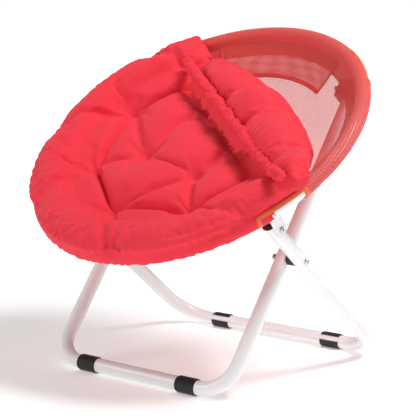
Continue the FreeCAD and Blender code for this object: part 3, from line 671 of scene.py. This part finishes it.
def tape_piece(name, turns_of_cut, side):
    """The tape round one cut-out, and the line along which it is sewn down."""
    loop = []
    coarse = tape_loop(turns_of_cut)
    for (x0, y0), (x1, y1) in zip(coarse, coarse[1:] + coarse[:1]):
        count = max(1, round(math.hypot(x1 - x0, y1 - y0) / (2.5 * MM)))
        loop += [(x0 + (x1 - x0) * i / count, y0 + (y1 - y0) * i / count) for i in range(count)]
    rings, middle = [], []
    for index, (x, y) in enumerate(loop):
        x0, y0 = loop[index - 1]
        x1, y1 = loop[(index + 1) % len(loop)]
        across = np.array([y1 - y0, x0 - x1]) / math.hypot(x1 - x0, y1 - y0)
        ring = []
        for place, lift in TAPE_SECTION:
            at = np.array([x, y]) + across * place * TAPE_WIDTH
            ring.append(on_sleeve(at[0], at[1], lift * TAPE_THICK, side))
        rings.append(ring)
        inner = np.array([x, y]) + across * 0.25 * TAPE_WIDTH
        middle.append(on_sleeve(inner[0], inner[1], TAPE_THICK, side))
    tape = finish_mesh(name, skin(name, rings, along=True), 60)
    tape.data.materials.append(orange)
    return tape, middle + middle[:1]


for label, turns_of_cut in zip(("front", "rear"), cutouts):
    for side_name, side in (("left", -1), ("right", 1)):
        tape, stitch_line = tape_piece(label + "_tape_" + side_name, turns_of_cut, side)
        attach(tape, "seat")
        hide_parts(label + "_binding_" + side_name)
        tape_seam = seam(label + "_tape_seam_" + side_name, [stitch_line], TAPE_STITCH, orange_thread)
        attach(tape_seam, "seat")

# Cushion
# A round pad of red cotton, padded with loose fibre and tufted with thread. An elastic edge
# holds it over the ring in front and at the left. At the rear right it has come off and lies
# folded inwards, with its plain back and gathered edge showing.
CUSHION_TURN = math.radians(-41)
CUSHION_REACH = 16.5 * MM
PAD_THICK = 28.0 * MM
PAD_LEAST = 6.0 * MM
PAD_EDGE = 16.0 * MM
PAD_BLEND = 5.0 * MM
ROLL_HIGH = 33.0 * MM
ROLL_HALF = 34.0 * MM
ROLL_INSIDE = 20.0 * MM
ROLL_RISE = 36.0 * MM
ROLL_FROM = math.radians(166)
ROLL_TO = math.radians(371)
ROLL_TAPER = math.radians(14)
ROLL_LOW_FROM_Q = 115.0 * MM
ROLL_LOW_FADE = 70.0 * MM
LIP_BOTTOM = -13.0 * MM
CLEARANCE = 0.8 * MM
FOLD_PEAK_Q = 146.0 * MM
FOLD_PEAK_P = 60.0 * MM
FOLD_BOW = 50.0 * MM
FOLD_HALF_SPAN = 290.0 * MM
FOLD_HEIGHT = 40.0 * MM
GATHER_Q = 64.0 * MM
GATHER_SLOPE = 0.06
VOXEL = 5.0 * MM
SWELL_CAP = 14.0 * MM
SWELL_STEPS = 20
TUFT_DEPTH = 22.0 * MM
TUFT_SPREAD = 21.0 * MM
CREASE_SPREAD = 12.0 * MM
CREASE_DEPTH = 9.0 * MM
RIM_CREASE_DEPTH = 15.0 * MM
HOLLOW_DEPTH = 17.0 * MM
HOLLOW_AHEAD = 20.0 * MM
HOLLOW_SPREAD = 22.0 * MM
MIDDLE_TUFTS = (8, 0.205, 163)
INNER_TUFTS = (4, 0.103, 208)
RIM_TUFTS = (8, 0.318, 185.5)


def turned(p, q):
    """From the cushion's own p and q to the ring's across and rear."""
    c, s = math.cos(CUSHION_TURN), math.sin(CUSHION_TURN)
    return p * c - q * s, p * s + q * c


def turned_back(x, rear):
    """The reverse of turned."""
    c, s = math.cos(CUSHION_TURN), math.sin(CUSHION_TURN)
    return x * c + rear * s, -x * s + rear * c


def rest_up(radius):
    """Height of what the cushion lies on: the sling, then the sleeved ring, then nothing."""
    radius = np.asarray(radius, float)
    around = SLEEVE_R + CLEARANCE
    bowl = bowl_up(np.minimum(radius, SLING_RIM_R)) + PANEL_LIFT + PANEL_THICK
    over = np.sqrt(np.maximum(around ** 2 - (radius - RING_R) ** 2, 0))
    from_ring = np.where(radius < RING_R + around, np.maximum(over, bowl), LIP_BOTTOM)
    return np.where(radius < RING_R - around, bowl, from_ring)


def pad_up(p, q):
    """Mean height of the pad's upper side: padding on the sling, and a fat roll over the ring."""
    radius = np.minimum(np.hypot(p, q), RING_R + CUSHION_REACH)
    lying = bowl_up(np.minimum(radius, SLING_RIM_R)) + PAD_THICK
    off = np.clip((radius - RING_R + ROLL_INSIDE) / ROLL_HALF, -1, 1)
    near_fold = np.clip((ROLL_LOW_FROM_Q - q) / ROLL_LOW_FADE, 0.2, 1)
    roll = ROLL_HIGH - ROLL_RISE + ROLL_RISE * near_fold * np.sqrt(1 - off ** 2)
    return PAD_BLEND * np.logaddexp(lying / PAD_BLEND, roll / PAD_BLEND)


def pad_row(q):
    """Closed section of the pad across it, at q."""
    reach = RING_R + CUSHION_REACH
    half = math.sqrt(max(reach ** 2 - q ** 2, 1e-6))
    low, high = -half, half
    if q > FOLD_PEAK_Q - FOLD_BOW:
        bow = FOLD_HALF_SPAN * math.sqrt(max(FOLD_PEAK_Q - q, 0) / FOLD_BOW)
        low, high = max(low, FOLD_PEAK_P - bow), min(high, FOLD_PEAK_P + bow)
    edge = min(PAD_EDGE, 0.3 * (high - low))
    p = np.linspace(low + edge, high - edge, 64)
    top = np.stack([p, pad_up(p, q)], -1)
    floor_at = rest_up(np.hypot(p, q))
    under = np.stack([p, np.minimum(floor_at, top[:, 1] - PAD_LEAST)], -1)[::-1]
    sides = []
    for end, first, last, way in ((high, top[-1], under[0], 1), (low, under[-1], top[0], -1)):
        turn = np.linspace(0, math.pi, 9)[1:-1]
        middle = 0.5 * (first + last)
        half_height = 0.5 * (first - last)
        sides.append(np.stack([middle[0] + way * edge * np.sin(turn) ** 0.7,
                               middle[1] + half_height[1] * np.cos(turn)], -1))
    section = np.concatenate([top, sides[0], under, sides[1]])
    return np.insert(section, 1, q, axis=1)


def roll_section(turn):
    """Closed section of the roll that is drawn over the ring, at a turn round the cushion."""
    spots = np.array([(-58, -12), (-55, 4), (-45, 20), (-28, 31), (-13, 31), (-1, 25), (8, 16), (14, 6),
                      (16, -3), (15, -11), (8, -12.5), (1, 1), (-3, 8), (-9, 6), (-17, 0), (-27, -10),
                      (-42, -16)]) * MM
    middle = np.array([-20 * MM, 8 * MM])
    to_end = min(turn - ROLL_FROM, ROLL_TO - turn) / ROLL_TAPER
    spots = middle + (spots - middle) * (0.35 + 0.65 * math.sqrt(min(1, max(to_end, 0))))
    radius = RING_R + spots[:, 0]
    return np.stack([radius * math.cos(turn), radius * math.sin(turn), spots[:, 1]], -1)


def smooth_loop(points, steps):
    """Closed smooth line through a few points."""
    points = np.asarray(points)
    out = []
    for index in range(len(points)):
        a, b, c, d = (points[(index + k) % len(points)] for k in (-1, 0, 1, 2))
        for t in np.arange(steps) / steps:
            out.append(0.5 * (2 * b + (c - a) * t + (2 * a - 5 * b + 4 * c - d) * t ** 2
                              + (3 * b - a - 3 * c + d) * t ** 3))
    return np.array(out)


def gather_q(p):
    """Where the gathered edge of the part that is turned in lies, at p."""
    return GATHER_Q + GATHER_SLOPE * p


def fold_row(p, swell):
    """Closed section of the part that is turned in, from its gathered edge over the fold."""
    inner, outer_q = gather_q(p), FOLD_PEAK_Q - FOLD_BOW * ((p - FOLD_PEAK_P) / FOLD_HALF_SPAN) ** 2
    middle = 0.45 * inner + 0.55 * outer_q
    rise = FOLD_HEIGHT * swell
    spots = ((inner, -6 * MM), (inner - 2 * MM, 0.3 * rise), (inner + 5 * MM, 0.55 * rise), (middle, rise),
             (outer_q - 4 * MM, 0.75 * rise), (outer_q + 12 * MM, 0.2 * rise), (outer_q - 2 * MM, -12 * MM),
             (middle, -14 * MM))
    loop = smooth_loop([(q, pad_up(p, q) + up) for q, up in spots], 5)
    return np.insert(loop, 0, p, axis=1)


def cushion_place(points):
    """Points given as p, q and height, in the chair's frame."""
    x, rear = turned(points[..., 0], points[..., 1])
    return ring_place(x, rear, points[..., 2])


pad_places = np.linspace(-(RING_R + CUSHION_REACH) + 3 * MM, FOLD_PEAK_Q - 4 * MM, 96)
pad_rows = np.array([pad_row(q) for q in pad_places])
fold_places = np.linspace(FOLD_PEAK_P - 0.96 * FOLD_HALF_SPAN, FOLD_PEAK_P + 0.82 * FOLD_HALF_SPAN, 110)
puffs = ((-240, 0.4), (-130, 0.72), (-70, 0.72), (-42, 0.6), (-8, 1.12), (28, 1.14), (60, 0.74), (95, 1.08),
         (150, 1.18), (220, 1.0), (300, 0.6))
swells = np.interp(fold_places / MM, *zip(*puffs))
swells = np.convolve(np.pad(swells, 3, "edge"), np.ones(7) / 7, "valid")
ends = np.minimum(1, 0.25 + 0.75 * np.minimum((fold_places - fold_places[0]) / (90 * MM),
                                              (fold_places[-1] - fold_places) / (45 * MM)))
fold_rows = np.array([fold_row(p, swell * end) for p, swell, end in zip(fold_places, swells, ends)])
cushion = finish_mesh("cushion_cover", skin("cushion_cover", cushion_place(pad_rows), caps=True), 180)
flap = finish_mesh("flap", skin("flap", cushion_place(fold_rows), caps=True), 180)
roll_rows = np.array([roll_section(turn) for turn in np.linspace(ROLL_FROM, ROLL_TO, 200)])
roll = finish_mesh("roll", skin("roll", cushion_place(roll_rows), caps=True), 180)


def apply_modifiers(piece):
    """Turns a piece's modifiers into its mesh."""
    bpy.context.view_layer.update()
    made = bpy.data.meshes.new_from_object(piece.evaluated_get(bpy.context.evaluated_depsgraph_get()))
    piece.modifiers.clear()
    piece.data = made
    made.name = piece.name


def get_points(piece, what="co"):
    """The places of a piece's points, or their normals."""
    values = np.empty(len(piece.data.vertices) * 3)
    piece.data.vertices.foreach_get(what, values)
    return values.reshape(-1, 3)


def push_in(piece, depths):
    """Moves each of a piece's points inwards, against its normal."""
    set_points(piece, get_points(piece) - get_points(piece, "normal") * depths[:, None])


def set_points(piece, places):
    piece.data.vertices.foreach_set("co", np.asarray(places, float).ravel())
    piece.data.update()


# One closed skin is made of pad, roll and flap, so that the cloth swells as a whole
joined = bmesh.new()
for part in (cushion, flap, roll):
    joined.from_mesh(part.data)
joined.to_mesh(cushion.data)
joined.free()
bpy.data.objects.remove(flap)
bpy.data.objects.remove(roll)
remesh = cushion.modifiers.new("voxels", "REMESH")
remesh.mode = "VOXEL"
remesh.voxel_size = VOXEL
apply_modifiers(cushion)


def spots_round(count, radius, first_degrees):
    """Tufts at even turns round the cushion's middle."""
    turns = np.radians(first_degrees + 360 / count * np.arange(count))
    return np.stack([radius * np.cos(turns), radius * np.sin(turns)], -1)


middle_tufts, inner_tufts, rim_tufts = (spots_round(*t) for t in (MIDDLE_TUFTS, INNER_TUFTS, RIM_TUFTS))
creases = []
for index, spot in enumerate(middle_tufts):
    creases.append((spot, middle_tufts[(index + 1) % len(middle_tufts)], RIM_CREASE_DEPTH))
    creases.append((spot, inner_tufts[(index // 2) % len(inner_tufts)], CREASE_DEPTH))
    creases.append((spot, rim_tufts[index], CREASE_DEPTH))
for index, spot in enumerate(inner_tufts):
    creases.append((spot, inner_tufts[(index + 1) % len(inner_tufts)], CREASE_DEPTH))


def distance_to_line(points, start, end):
    """Distance of flat points from a straight line between two spots."""
    span = end - start
    share = np.clip((points - start) @ span / (span @ span), 0, 1)
    return np.linalg.norm(points - start - share[:, None] * span, axis=1)


def swell_cloth(piece, pinned):
    """Inflates the cover as its filling does. Pinned points stay, and the cloth has some spare."""
    group = piece.vertex_groups.new(name="sewn")
    for weight in np.unique(pinned):
        group.add([int(i) for i in np.nonzero(pinned == weight)[0]], float(weight), "REPLACE")
    start = get_points(piece)
    cloth = piece.modifiers.new("cloth", "CLOTH")
    cloth.settings.quality = 5
    cloth.settings.mass = 0.3
    cloth.settings.tension_stiffness = 12
    cloth.settings.compression_stiffness = 12
    cloth.settings.shear_stiffness = 4
    cloth.settings.bending_stiffness = 0.25
    cloth.settings.use_pressure = True
    cloth.settings.uniform_pressure_force = 4
    cloth.settings.shrink_min = -0.06
    cloth.settings.effector_weights.gravity = 0
    cloth.settings.vertex_group_mass = "sewn"
    cloth.collision_settings.use_collision = False
    scene = bpy.context.scene
    scene.frame_start, scene.frame_end = 1, SWELL_STEPS
    for step in range(1, SWELL_STEPS + 1):
        scene.frame_set(step)
    apply_modifiers(piece)
    scene.frame_set(1)
    move = get_points(piece) - start
    size = np.linalg.norm(move, axis=1)
    set_points(piece, start + move * np.minimum(1, SWELL_CAP / np.maximum(size, 1e-9))[:, None])


x, rear, up = ring_local(get_points(cushion))
flat_places = np.stack([x, rear], -1)
p, q = turned_back(x, rear)
top_share = np.clip((up - rest_up(np.hypot(x, rear))) / (12 * MM), 0, 1)
on_pad = np.clip((gather_q(p) - q) / (8 * MM), 0, 1)
sunk = np.zeros(len(x))
for spot in np.concatenate([middle_tufts, inner_tufts]):
    away = np.linalg.norm(flat_places - spot, axis=1)
    sunk = np.maximum(sunk, TUFT_DEPTH * np.exp(-(away / TUFT_SPREAD) ** 1.2))
for spot in rim_tufts:
    away = np.linalg.norm(flat_places - spot, axis=1)
    sunk = np.maximum(sunk, 0.6 * TUFT_DEPTH * np.exp(-(away / TUFT_SPREAD) ** 1.2))
hollow = HOLLOW_DEPTH * np.exp(-((q - gather_q(p) + HOLLOW_AHEAD) / HOLLOW_SPREAD) ** 2)
sunk = np.maximum(sunk, hollow * np.clip((RING_R - 70 * MM - np.abs(p)) / (60 * MM), 0, 1))
for start, end, depth in creases:
    sunk = np.maximum(sunk, depth * np.exp(-(distance_to_line(flat_places, start, end) / CREASE_SPREAD) ** 2))
sunk *= top_share * on_pad
push_in(cushion, sunk)
held = np.where(sunk > 0.72 * TUFT_DEPTH, 1.0, 0.0)
held = np.maximum(held, np.where(top_share < 0.15, 1.0, 0.0))
outside = (np.hypot(x, rear) > RING_R - 2 * MM) & (up < 27 * MM)
held = np.where(outside | (np.hypot(np.hypot(x, rear) - RING_R, up) < SLEEVE_R), 1.0, held)
swell_cloth(cushion, held)
subdivide = cushion.modifiers.new("fine", "SUBSURF")
subdivide.levels = subdivide.render_levels = 1
apply_modifiers(cushion)


def ridges(values, seed):
    """Rounded folds with narrow valleys along a line of values, from 0 in a valley to 1."""
    drift = np.array([noise.noise(Vector((v * 0.37, seed, 0.0))) for v in values])
    return np.abs(np.sin(math.pi * (values + 1.3 * drift))) ** 0.8


# Gathers where the elastic draws the rim in, and where it bunches the flap's free edge
RIM_GATHERS_APART = 21.0 * MM
RIM_GATHER_DEPTH = 3.6 * MM
RIM_GATHERS_FROM = 235.0 * MM
RIM_GATHERS_GROW = 80.0 * MM
EDGE_GATHERS_APART = 17.0 * MM
EDGE_GATHER_DEPTH = 4.0 * MM
EDGE_GATHERS_REACH = 19.0 * MM
x, rear, up = ring_local(get_points(cushion))
p, q = turned_back(x, rear)
radius = np.hypot(x, rear)
turn = np.arctan2(x, rear)
wander = np.array([noise.noise(Vector((a * 14, b * 9, 3.0))) for a, b in zip(x, rear)])
rim_share = np.clip((radius - RIM_GATHERS_FROM) / RIM_GATHERS_GROW, 0, 1) ** 1.5
rim_share *= np.clip((gather_q(p) - q) / (30 * MM) + 0.5, 0, 1)
strength = np.array([noise.noise(Vector((a * 3.1, 11.0, 0.0))) for a in turn])
rim_share *= np.clip(0.55 + 1.5 * strength, 0.2, 1)
rim_folds = ridges(turn * RING_R / RIM_GATHERS_APART + 0.8 * wander, 1.0)
edge_away = np.abs(q - gather_q(p))
edge_share = np.exp(-edge_away / EDGE_GATHERS_REACH)
edge_share *= np.clip((up - pad_up(p, q) + 4 * MM) / (10 * MM), 0, 1)
edge_folds = ridges(p / EDGE_GATHERS_APART + 1.2 * wander, 7.0)
lower = RIM_GATHER_DEPTH * rim_share * (1 - rim_folds) + EDGE_GATHER_DEPTH * edge_share * (1 - edge_folds)
push_in(cushion, lower)

# The finished cover stays just off what it lies on
x, rear, up = ring_local(get_points(cushion))
radius = np.hypot(x, rear)
around = SLEEVE_R + CLEARANCE
ring_away = np.hypot(radius - RING_R, up)
push = np.where(ring_away < around, around / np.maximum(ring_away, 1e-6), 1.0)
new_radius = RING_R + (radius - RING_R) * push
up = up * push
scale = new_radius / np.maximum(radius, 1e-9)
x, rear = x * scale, rear * scale
inside = new_radius < RING_R - 0.6 * around
bowl = bowl_up(np.minimum(new_radius, SLING_RIM_R)) + PANEL_LIFT + CLEARANCE
up = np.where(inside, np.maximum(up, bowl), up)
up = np.maximum(up, np.where(new_radius > RING_R, LIP_BOTTOM, up))
set_points(cushion, ring_place(x, rear, up))
cushion.data.shade_smooth()

# Cotton twill, dyed right through: soft and matt, with a slight bloom at grazing angles. The
# real yarns are 0.5 mm apart, drawn at 1.1 mm so that they show.
YARNS_APART = 1.1 * MM
red_cotton, tree, shader = new_material("red cotton twill", Base_Color=linear("#EC2738"), Roughness=0.82,
                                        Sheen_Weight=0.35, Sheen_Roughness=0.45, Sheen_Tint=linear("#FF8088"))
place = add_node(tree, "ShaderNodeTexCoord")
parts = add_node(tree, "ShaderNodeSeparateXYZ", {"Vector": place.outputs["Object"]})
waves = []
for axis, share in (("X", 1.0), ("Y", 0.82)):
    line = reckon(tree, "MULTIPLY_ADD", parts.outputs["Z"], 1 - share, parts.outputs[axis])
    waves.append(reckon(tree, "SINE", reckon(tree, "MULTIPLY", line, 2 * math.pi / YARNS_APART)))
weave = reckon(tree, "MULTIPLY", *waves)
crumple = cloudy(tree, 26.0, 5.0, Roughness=0.6, Distortion=0.6)
roughen(tree, shader, 0.35, 0.004, reckon(tree, "MULTIPLY_ADD", weave, 0.08, crumple))
dye = cloudy(tree, 9.0, 3.0)
shade = add_node(tree, "ShaderNodeMix", {0: dye, 6: linear("#E8243A"), 7: linear("#F2303F")},
                 data_type="RGBA")
tree.links.new(shade.outputs[2], shader.inputs["Base Color"])
cushion.data.materials.clear()
cushion.data.materials.append(red_cotton)
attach(cushion, "seat")
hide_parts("cushion")

# Elastic edge
# A strip of the same cotton sewn into a casing over flat elastic, which bunches it into
# tight, uneven gathers.
CASING_R = 7.5 * MM
CASING_STEPS = 620
CASING_SIDES = 20
CASING_WANDER = 4.0 * MM
CASING_BACK = 3.0 * MM
CASING_PLEAT = 8.5 * MM
places = np.linspace(FOLD_PEAK_P - 0.98 * FOLD_HALF_SPAN, FOLD_PEAK_P + 0.8 * FOLD_HALF_SPAN, CASING_STEPS)
rings = []
for p in places:
    q = gather_q(p)
    wobble = Vector((noise.noise(Vector((p * 40, 0, 0))), noise.noise(Vector((p * 40, 5, 0))), 0))
    wobble *= CASING_WANDER
    ring = []
    for side in range(CASING_SIDES):
        turn = 2 * math.pi * side / CASING_SIDES
        phase = p / CASING_PLEAT + 0.9 * noise.noise(Vector((p * 60, math.cos(turn), math.sin(turn))))
        fat = 0.72 + 0.42 * abs(math.sin(math.pi * phase)) ** 0.7
        fat += 0.3 * noise.noise(Vector((p * 90, 2 * math.cos(turn), 2 * math.sin(turn))))
        ring.append((p, q - CASING_BACK + wobble.x + CASING_R * 1.25 * fat * math.cos(turn),
                     pad_up(p, q) + 0.62 * FOLD_HEIGHT + wobble.y + CASING_R * fat * math.sin(turn)))
    rings.append(ring)
casing = finish_mesh("elastic_casing", skin("elastic_casing", cushion_place(np.array(rings)), caps=True), 180)
casing.data.materials.append(red_cotton)
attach(casing, "seat")
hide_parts("elastic_ruffle")

# The cover's edge hangs on below the elastic as a short frill, pleated by the same gathers
FRILL_LONG = 26.0 * MM
FRILL_ROWS = 9
FRILL_FROM = -200.0 * MM
FRILL_TO = 160.0 * MM
FRILL_FADE = 60.0 * MM
FRILL_PLEAT = 12.0 * MM
FRILL_SWING = 5.5 * MM
FRILL_BACK = 7.0 * MM
places = np.linspace(FRILL_FROM, FRILL_TO, 460)
fades = np.clip(np.minimum(places - places[0], places[-1] - places) / FRILL_FADE, 0.15, 1)
rows = []
for p, fade in zip(places, fades):
    phase = p / FRILL_PLEAT + 1.1 * noise.noise(Vector((p * 30, 0, 0)))
    pleat = abs(math.sin(math.pi * phase)) ** 0.8 - 0.5
    longer = 1 + 0.35 * noise.noise(Vector((p * 45, 3, 0)))
    row = []
    for share in np.linspace(0, 1, FRILL_ROWS):
        out = share * FRILL_LONG * fade * longer
        swing = FRILL_SWING * pleat * share ** 0.7
        q = gather_q(p) - FRILL_BACK - 0.75 * out + swing
        up = pad_up(p, gather_q(p)) + 0.55 * FOLD_HEIGHT - 0.62 * out + 0.6 * swing
        row.append((p + 0.3 * swing, q, up))
    rows.append(row)
frill = finish_mesh("cover_frill", skin("cover_frill", cushion_place(np.array(rows)), around=False), 180)
frill.data.materials.append(red_cotton)
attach(frill, "seat")

low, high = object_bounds()
